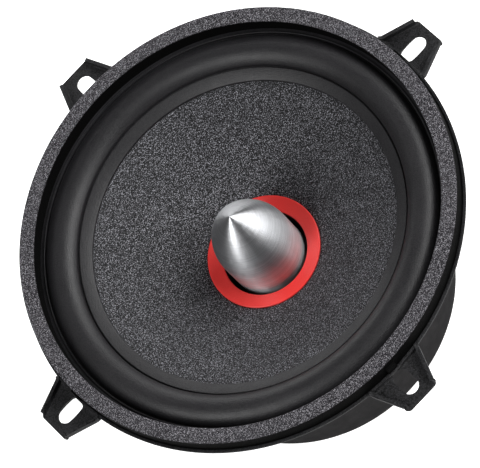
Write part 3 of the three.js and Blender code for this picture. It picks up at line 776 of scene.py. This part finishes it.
def build_trim():
    """Square-sided ring with a crisp face, standing on the flange inside the turned-up rim."""
    foot = FLANGE_Z - RIM_RISE + 0.05
    outline = divide(closed_outline([
        (TRIM_BORE, foot, 0.1), (TRIM_RADIUS, foot, 0.1), (TRIM_RADIUS, FACE_Z, 0.35),
        (TRIM_BORE, FACE_Z, 0.35)]), 0.5)
    ring = turned_piece("trim_ring", outline, 420)
    stands_for(ring, "front_gasket", CHASSIS, TRIM)
    for quarter in range(4):
        lug = block(f"trim_lug_{quarter + 1}", (TRIM_RADIUS - 0.5, -1.6, foot),
                    (TRIM_RADIUS + 0.7, 1.6, foot + 3.4), 0.2, quarter * math.pi / 2)
        goes_with(lug, CHASSIS, TRIM)


def build_seal():
    """Foam ring with rounded edges behind the flange."""
    low, high, outer = base_of("mounting_seal"), top_of("mounting_seal"), radius_of("mounting_seal")
    outline = closed_outline([
        (SEAL_BORE, low, 0.5), (outer, low, 0.5), (outer, high, 0.5), (SEAL_BORE, high, 0.5)])
    seal = turned_piece("foam_seal", divide(outline, 0.8), 300)
    stands_for(seal, "mounting_seal", CHASSIS, FOAM)


def roll_arc(inset, steps):
    """Arch of the roll from its outer foot to its inner one: part of a circle through both feet and the
    crest, drawn the given distance inside it."""
    bend = (ROLL_HALF_WIDTH ** 2 + ROLL_HEIGHT ** 2) / (2 * ROLL_HEIGHT)
    side = math.asin(ROLL_HALF_WIDTH / bend)
    turn = np.linspace(side, -side, steps)
    level = LAND_Z + ROLL_HEIGHT - bend
    return np.stack([ROLL_MIDDLE + (bend - inset) * np.sin(turn), level + (bend - inset) * np.cos(turn)], -1)


def build_surround():
    """Outer land with a small bead, a crease, the arched roll, a second crease and the sloping inner land."""
    edge = radius_of("surround")
    outside, inside = ROLL_MIDDLE + ROLL_HALF_WIDTH, ROLL_MIDDLE - ROLL_HALF_WIDTH
    bead_z, outer_crease, inner_crease = LAND_Z + 0.3, LAND_Z - 0.65, INNER_LAND_Z - 0.6
    outer_land = round_corners([
        (edge, LAND_Z, 0), (outside + 1.15, LAND_Z, 0.3), (outside + 0.9, bead_z, 0.12),
        (outside + 0.6, bead_z, 0.12), (outside + 0.45, outer_crease, 0.08),
        (outside + 0.05, outer_crease, 0.08), (outside, LAND_Z, 0)], 4)
    inner_land = round_corners([
        (inside, LAND_Z, 0), (inside - 0.02, inner_crease, 0.08), (inside - 0.36, inner_crease, 0.08),
        (inside - 0.55, INNER_LAND_Z, 0.15), (LAND_INNER, INNER_LAND_Z - LAND_DROP + 0.05, 0.25),
        (LAND_INNER, INNER_LAND_Z - LAND_DROP - 0.65, 0)], 4)
    under = np.vstack([
        [[inside - 0.7, INNER_LAND_Z - 1.2]], [[inside + 0.2, INNER_LAND_Z - 1.0]],
        roll_arc(RUBBER, 36)[::-1], [[outside - 0.2, LAND_Z - 1.05]], [[outside + 0.7, LAND_Z - 1.05]],
        [[outside + 1.1, LAND_Z - RUBBER]], [[edge, LAND_Z - RUBBER]]])
    outline = np.vstack([outer_land, roll_arc(0, 60)[1:-1], inner_land, under])
    rubber = turned_piece("rubber_edge", outline, 360)
    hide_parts("surround")
    finish_piece(rubber, RUBBER_LOOK)
    flexes(rubber)


def build_cone():
    """Straight cone of one wall with a flat glued rim under the inner land."""
    low, high, rim = base_of("cone"), top_of("cone"), radius_of("cone")
    edge_z = INNER_LAND_Z - LAND_DROP - PAPER_GAP
    outline = np.array([
        (NECK_RADIUS, low + PAPER), (LAND_INNER, edge_z), (rim, high), (rim, high - PAPER),
        (LAND_INNER, edge_z - PAPER), (NECK_RADIUS, low)])
    outline = divide(np.vstack([outline, outline[:1]]), 0.8)[:-1]
    cone = turned_piece("pulp_cone", outline, 300)
    stands_for(cone, "cone", MOVING, PULP)


def build_ring():
    """Thin dished ring that covers the neck of the cone, with rounded edges."""
    low, high, wall = base_of("neck_ring"), top_of("neck_ring"), 0.8
    outline = closed_outline([
        (COIL_RADIUS, low, 0.2), (RING_RADIUS, high - wall, 0.1), (RING_RADIUS, high, 0.3),
        (COIL_RADIUS, low + wall, 0.3)])
    ring = turned_piece("red_ring", divide(outline, 0.5), 256)
    stands_for(ring, "neck_ring", MOVING, RED)


# -------- plug and motor


def build_plug():
    """Ogive nose on a straight shank: the nose is an arc that leaves the shank without a bend, cut at a
    small blunt radius and closed by a quarter of an ellipse."""
    blunt = 0.35
    foot = base_of("phase_plug")
    arc = (PLUG_RADIUS ** 2 + PLUG_NOSE ** 2) / (2 * PLUG_RADIUS)
    shoulder = PLUG_TIP - PLUG_NOSE
    rise = np.linspace(0, PLUG_NOSE, 90)
    r = np.sqrt(arc ** 2 - rise ** 2) + PLUG_RADIUS - arc
    ogive = np.stack([r, shoulder + rise], -1)[r > blunt]
    last = ogive[-1]
    turn = np.linspace(0, math.pi / 2, 10)[1:]
    cap = np.stack([last[0] * np.cos(turn), last[1] + (PLUG_TIP - last[1]) * np.sin(turn)], -1)
    cap[-1, 0] = 0
    shank = round_corners([(0, foot, 0), (PLUG_RADIUS, foot, 0.3), (PLUG_RADIUS, shoulder, 0)])
    outline = np.vstack([divide(shank, 1.0)[:-1], ogive, cap])
    plug = turned_piece("turned_plug", outline, 256, closed=False)
    stands_for(plug, "phase_plug", CHASSIS, ALUMINIUM, also=("phase_plug_screw",))


def ring_piece(name, node, inner, body, material, fillet):
    """A ring of square section with rounded edges; its outside and its two levels are the node's."""
    low, high, outer = base_of(node), top_of(node), radius_of(node)
    outline = closed_outline([
        (inner, low, fillet), (outer, low, fillet), (outer, high, fillet), (inner, high, fillet)])
    return stands_for(turned_piece(name, divide(outline, 1.5)), node, body, material)


def build_motor():
    """Magnet, plates, pole and coil. The winding's outside is ribbed like wire, one rib to a turn."""
    ring_piece("ferrite_ring", "magnet", MAGNET_BORE, CHASSIS, FERRITE, 0.8)
    ring_piece("front_plate", "top_plate", PLATE_BORE, CHASSIS, DARK_STEEL_GAP_SHADE, 0.5)
    ring_piece("coil_film", "voice_coil_former", COIL_RADIUS, MOVING, GAP_SHADE_FILM, 0.05)
    yoke_low, pole_top, yoke_edge = base_of("pole_yoke"), top_of("pole_yoke"), radius_of("pole_yoke")
    plate_top = yoke_low + BACK_PLATE
    outline = round_corners([
        (0, yoke_low, 0), (yoke_edge, yoke_low, 0.6), (yoke_edge, plate_top, 0.6),
        (POLE_RADIUS, plate_top, 0.8), (POLE_RADIUS, pole_top, 0.4), (0, pole_top, 0)])
    yoke = turned_piece("back_plate_and_pole", divide(outline, 2.0), 200, closed=False)
    stands_for(yoke, "pole_yoke", CHASSIS, DARK_STEEL_GAP_SHADE)
    node, wire, inner = "voice_coil_winding", 0.25, 13.0
    low, high = base_of(node), top_of(node)
    rise = np.linspace(low, high, int((high - low) / wire) * 8 + 1)
    bulge = radius_of(node) - 0.1 * (1 - np.abs(np.sin((rise - low) / wire * math.pi)))
    outline = np.vstack([[[inner, low]], np.stack([bulge, rise], -1), [[inner, high]]])
    stands_for(turned_piece("wire_winding", outline, 180), node, MOVING, COPPER)


def build_boot():
    """Moulded cover: straight wall with a rounded back edge, a bead round its mouth, a shallow disc let
    into its back, and a small tab with a boss on its mouth."""
    outer, high = radius_of("magnet_boot"), top_of("magnet_boot")
    inner, disc, tab_depth = outer - BOOT_WALL, 14, 2.6
    outline = round_corners([
        (0, 0.5, 0), (disc, 0.5, 0.4), (disc + 0.8, 0, 0.4), (outer - 0.4, 0, 1.9),
        (outer - 0.15, high - 3.2, 0.4), (outer, high - 2.8, 0.4), (outer, high, 0.7), (inner, high, 0.4),
        (inner, BOOT_FLOOR, 0.8), (0, BOOT_FLOOR, 0)])
    boot = turned_piece("moulded_boot", divide(outline, 1.5), 300, closed=False)
    stands_for(boot, "magnet_boot", CHASSIS, BOOT)
    tab = block("boot_tab", (outer - 0.9, -3.2, high - tab_depth), (outer + 1.0, 3.2, high), 0.3,
                math.radians(-132.5))
    goes_with(tab, CHASSIS, BOOT)
    middle, angle = outer + 0.1, math.radians(-129)
    boss = turned_piece("boot_boss", rivet_outline(1.3, 1.3, high - tab_depth, high, 0.4), 40, False,
                        (middle * math.cos(angle), middle * math.sin(angle)))
    goes_with(boss, CHASSIS, BOOT)


def build_spider():
    """Corrugated disc: the height is a cosine of the distance from the axis between two flat bands."""
    z, cloth, waves, half_height = base_of("spider"), 0.4, 6, 0.55
    outer = radius_of("spider")
    first, last = NECK_RADIUS + 1.6, SHELF_RADIUS - 0.6
    r = np.linspace(NECK_RADIUS, outer, 150)
    phase = np.clip((r - first) / (last - first), 0, 1) * waves * math.tau
    lift = half_height * (1 - np.cos(phase))
    top = np.stack([r, z + cloth + lift], -1)
    bottom = np.stack([r[::-1], (z + lift)[::-1]], -1)
    disc = turned_piece("cloth_spider", np.vstack([bottom, top[::-1]])[::-1])
    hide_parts("spider")
    finish_piece(disc, CLOTH)
    flexes(disc)


# -------- rivets, terminals and leads


def rivet_outline(shank, head, foot, seat, height):
    """Shank with a domed head: the dome is a quarter of an ellipse."""
    turn = np.linspace(0, math.pi / 2, 12)
    dome = np.stack([head * np.cos(turn), seat + 0.15 + (height - 0.15) * np.sin(turn)], -1)
    dome[-1, 0] = 0
    return np.vstack([[[0, foot], [shank, foot], [shank, seat], [head - 0.05, seat]], dome])


def build_rivets():
    """The four rivets that hold the basket on the front plate."""
    for number in range(1, 5):
        node = f"basket_rivet_{number}"
        low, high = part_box(node)
        head = 1.2
        outline = rivet_outline(1.5, 2.8, low.z / MM, high.z / MM - head, head)
        rivet = turned_piece(f"domed_rivet_{number}", outline, 48, False, ((low + high) / 2).xy / MM)
        stands_for(rivet, node, CHASSIS, RIVET)


def on_spoke(x, y):
    """A point given along and across the terminal's spoke, in the object's X and Y."""
    c, s = math.cos(TERMINAL_ANGLE), math.sin(TERMINAL_ANGLE)
    return x * c - y * s, x * s + y * c


def build_terminals():
    """Board with a wide and a narrow blade, their eyelets and leads, and a plain dot beside the wide one."""
    board = block("board_strip", (BOARD_INNER, -BOARD_HALF, base_of("terminal_board")),
                  (BOARD_OUTER, BOARD_HALF, top_of("terminal_board")), 0.25, TERMINAL_ANGLE)
    stands_for(board, "terminal_board", CHASSIS, BOARD)
    for name, side, width in (("positive", 1, 6.3), ("negative", -1, 4.8)):
        node, eyelet_node = f"terminal_{name}", f"terminal_rivet_{name}"
        y, head = side * TERMINAL_SIDE, 0.6
        blade = blade_piece(f"blade_{name}", y, width, top_of(node), base_of(node))
        stands_for(blade, node, CHASSIS, TIN)
        outline = rivet_outline(0.9, 1.6, base_of(eyelet_node), top_of(eyelet_node) - head, head)
        eyelet = turned_piece(f"eyelet_{name}", outline, 40, False, on_spoke(EYELET_PLACE, y))
        stands_for(eyelet, eyelet_node, CHASSIS, BRASS)
        build_lead(name, y)
        build_pad(name, y)
    low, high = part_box("polarity_mark")
    outline = rivet_outline(0.8, 0.8, low.z / MM, low.z / MM + 0.1, 0.3)
    dot = turned_piece("polarity_dot", outline, 32, False, ((low + high) / 2).xy / MM)
    stands_for(dot, "polarity_mark", CHASSIS, RED)


def blade_piece(name, middle, width, top, low):
    """Strip along the board that bends down to a connector blade with a tapered end."""
    thick, bend, taper_from = 0.8, 0.9, 1.4
    turn = np.linspace(0, math.pi / 2, 7)
    path = np.vstack([
        [[BLADE_START, top]], [[BLADE_FLAT_END, top]],
        np.stack([BLADE_OUTER - bend + bend * np.sin(turn), top - bend + bend * np.cos(turn)], -1),
        [[BLADE_OUTER, low + 2.2]], [[BLADE_OUTER, low + 0.9]], [[BLADE_OUTER, low]]])
    path = divide(path, 1.0)
    taper = 1 - 0.35 * smooth_step((low + taper_from - path[:, 1]) / taper_from)
    across = np.linspace(-0.5, 0.5, 9)[None]
    y = middle + width * taper[:, None] * across
    px, py = on_spoke(path[:, :1] + 0 * across, y)
    points = np.stack([px, py, path[:, 1:] + 0 * across], -1).reshape(-1, 3)
    return sheet_piece(name, points, grid_faces(len(path), 9), thick, 0.15)


def build_lead(name, y):
    """Braided lead: six strands twisted round one smooth path from the terminal to the pad. A strand's
    middle is at the lay radius from the path, at an angle that grows evenly along it."""
    start = np.array([LEAD_START, y, top_of(f"terminal_{name}") + 0.75])
    end = np.array([PAD_PLACE, y, base_of(f"solder_pad_{name}") - 0.2])
    share = np.linspace(0, 1, 160)[:, None]
    path = start + (end - start) * share
    path[:, 2:] += 3.2 * np.sin(math.pi * share) ** 1.2
    ahead = np.gradient(path, axis=0)
    ahead /= np.linalg.norm(ahead, axis=1, keepdims=True)
    beside = np.array([[0.0, 1.0, 0.0]])
    above = np.cross(ahead, beside)
    strands, sides, lay, thin, turns = 6, 8, 0.36, 0.24, 14
    ring = (np.arange(sides) * math.tau / sides)[None, :, None]
    points, faces = [], []
    for strand in range(strands):
        phase = share * turns * math.tau + strand * math.tau / strands
        middle = path + lay * (np.cos(phase) * beside + np.sin(phase) * above)
        loop = middle[:, None] + thin * (np.cos(ring) * beside[:, None] + np.sin(ring) * above[:, None])
        px, py = on_spoke(loop[..., 0], loop[..., 1])
        first = strand * len(path) * sides
        caps = np.array([np.arange(sides)[::-1], (len(path) - 1) * sides + np.arange(sides)])
        points.append(np.stack([px, py, loop[..., 2]], -1).reshape(-1, 3))
        faces += (grid_faces(len(path), sides, False, True) + first).tolist() + (caps + first).tolist()
    lead = new_piece(f"braided_lead_{name}", np.vstack(points), faces)
    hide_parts(f"tinsel_lead_{name}")
    finish_piece(lead, COPPER)
    flexes(lead)


def build_pad(name, y):
    """Solder blob on the back of the cone, turned over to lie on its slope."""
    node = f"solder_pad_{name}"
    pad = turned_piece(f"solder_blob_{name}", rivet_outline(1.2, 1.9, 0, 0.3, 1.0), 40, False)
    seat = Matrix.Translation(Vector((PAD_PLACE, y, top_of(node) - 0.1)) * MM)
    pad.data.transform(
        Matrix.Rotation(TERMINAL_ANGLE, 4, "Z") @ seat @ Matrix.Rotation(math.pi - CONE_SLOPE, 4, "Y"))
    stands_for(pad, node, MOVING, TIN)


build_basket()
build_trim()
build_seal()
build_surround()
build_cone()
build_ring()
build_plug()
build_motor()
build_boot()
build_spider()
build_rivets()
build_terminals()

# -------- stage, light and camera


CAMERA_DISTANCE = 1.07303
CAMERA_AIM = Vector((-0.001414, -0.003051, 0.060))
CAMERA_AZIMUTH = math.radians(-1.984)
CAMERA_ELEVATION = math.radians(60.337)
CAMERA_ROLL = math.radians(44.8)
CAMERA_LENS = 289.1
FLOOR_SIZE, FLOOR_LEVEL = 12.0, -0.0005
FLOOR_GLOW = 0.7
ROOM_LIGHT = 0.11                     # the pale walls as a source of light, against 1 where they are seen
SOFTBOX_DISTANCE = 1.3


def floor_finish():
    """Pale paper with a little light of its own where it is looked at, so that it stays pale in shade."""
    material, tree, sockets = start_material("pale paper", Specular_IOR_Level=0.1, Roughness=0.9)
    handling = use_group(tree, HANDLING, Scale=3.0)
    feed(tree, mix_colour(tree, handling["Tone"], colour(0.88, 0.88, 0.88), colour(0.90, 0.90, 0.90)),
         sockets["Base Color"])
    sockets["Emission Color"].default_value = (1.0, 1.0, 1.0, 1.0)
    seen = add_node(tree, "ShaderNodeLightPath").outputs["Is Camera Ray"]
    feed(tree, times(tree, seen, FLOOR_GLOW), sockets["Emission Strength"])
    return material


def build_stage():
    """A very large flat sheet of paper just under the object."""
    size, level = FLOOR_SIZE, FLOOR_LEVEL
    mesh = bpy.data.meshes.new("floor")
    corners = [(-size, -size, level), (size, -size, level), (size, size, level), (-size, size, level)]
    mesh.from_pydata(corners, [], [(0, 1, 2, 3)])
    floor = bpy.data.objects.new("floor", mesh)
    floor.data.materials.append(floor_finish())
    bpy.context.scene.collection.objects.link(floor)


def soft_light(name, direction, size, brightness):
    """A rectangular softbox that faces the object; brightness is what each point of its face sends out."""
    lamp = bpy.data.lights.new(name, "AREA")
    lamp.shape = "RECTANGLE"
    lamp.size, lamp.size_y = size
    lamp.energy = brightness * math.pi * size[0] * size[1]
    holder = bpy.data.objects.new(name, lamp)
    holder.location = CAMERA_AIM + Vector(direction).normalized() * SOFTBOX_DISTANCE
    holder.rotation_euler = (CAMERA_AIM - holder.location).to_track_quat("-Z", "Y").to_euler()
    bpy.context.scene.collection.objects.link(holder)


def light_room():
    """Pale walls where they are looked at, dimmer as a source of light, and softboxes left and right."""
    world = bpy.data.worlds.new("studio")
    world.use_nodes = True
    background = world.node_tree.nodes["Background"]
    background.inputs["Color"].default_value = (1.0, 1.0, 1.0, 1.0)
    seen = add_node(world.node_tree, "ShaderNodeLightPath").outputs["Is Camera Ray"]
    strength = spread(world.node_tree, seen, 0.0, 1.0, ROOM_LIGHT, 1.0)
    feed(world.node_tree, strength, background.inputs["Strength"])
    bpy.context.scene.world = world
    soft_light("key", (0.78, -0.28, 0.58), (1.7, 0.7), 7.6)
    soft_light("strip", (-0.66, -0.18, 0.73), (0.42, 0.8), 11.5)
    soft_light("back card", (0.35, 0.90, 0.24), (1.5, 0.5), 3.2)


def place_camera():
    """The camera circles the aim point by azimuth and elevation, then rolls about its own line of sight."""
    camera = bpy.data.objects.new("camera", bpy.data.cameras.new("camera"))
    camera.data.lens = CAMERA_LENS
    camera.data.sensor_width = 36.0
    camera.data.clip_start, camera.data.clip_end = 0.01, 50.0
    level = math.cos(CAMERA_ELEVATION)
    back = Vector((math.sin(CAMERA_AZIMUTH) * level, -math.cos(CAMERA_AZIMUTH) * level,
                   math.sin(CAMERA_ELEVATION)))
    upright = (-back).to_track_quat("-Z", "Y").to_matrix().to_4x4()
    place = Matrix.Translation(CAMERA_AIM + back * CAMERA_DISTANCE)
    camera.matrix_world = place @ upright @ Matrix.Rotation(-CAMERA_ROLL, 4, "Z")
    bpy.context.scene.collection.objects.link(camera)
    bpy.context.scene.camera = camera


build_stage()
light_room()
place_camera()
bpy.context.scene.view_settings.view_transform = "Standard"
